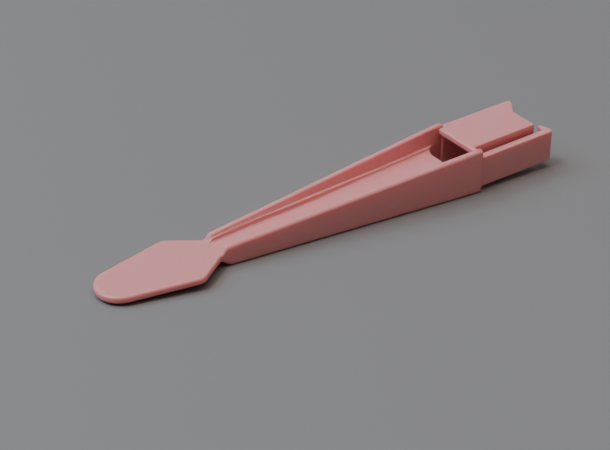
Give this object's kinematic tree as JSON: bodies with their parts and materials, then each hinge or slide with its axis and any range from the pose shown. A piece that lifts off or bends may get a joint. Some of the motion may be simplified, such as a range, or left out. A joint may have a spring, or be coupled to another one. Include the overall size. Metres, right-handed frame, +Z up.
{
  "type": "spudger tool",
  "caption": "Moulded plastic pry tool: flat rounded blade, tapered I-beam handle, and a channel tail with a hooked spring arm.",
  "frame": {"origin": "on the bench, under the middle of the tool's outline", "axes": "+X along the tool from the blade's nose to the tail, +Y across it towards the tail's fixed rail, +Z up from the bench the tool lies on"},
  "size_m": [0.0858, 0.0126, 0.0084],
  "materials": {
    "pink_plastic": "glossy smooth moulded plastic, slightly translucent"
  },
  "bodies": {
    "tool_body": {"pry_blade": "pink_plastic", "center_web": "pink_plastic", "near_side_wall": "pink_plastic", "far_side_wall": "pink_plastic", "cross_bar": "pink_plastic", "tail_deck": "pink_plastic", "tail_rib": "pink_plastic", "tail_rail": "pink_plastic"},
    "spring_arm": {"snap_arm": "pink_plastic"}
  },
  "joints": [
    {"name": "snap_arm_flex", "type": "hinge", "parent": "tool_body", "child": "spring_arm", "pos_m": [0.02742, -0.00481, 0.00425], "axis": [0.0469, 0, -0.9989], "range_deg": [-2, 5], "stiffness_Nm_per_rad": 0.3}
  ]
}
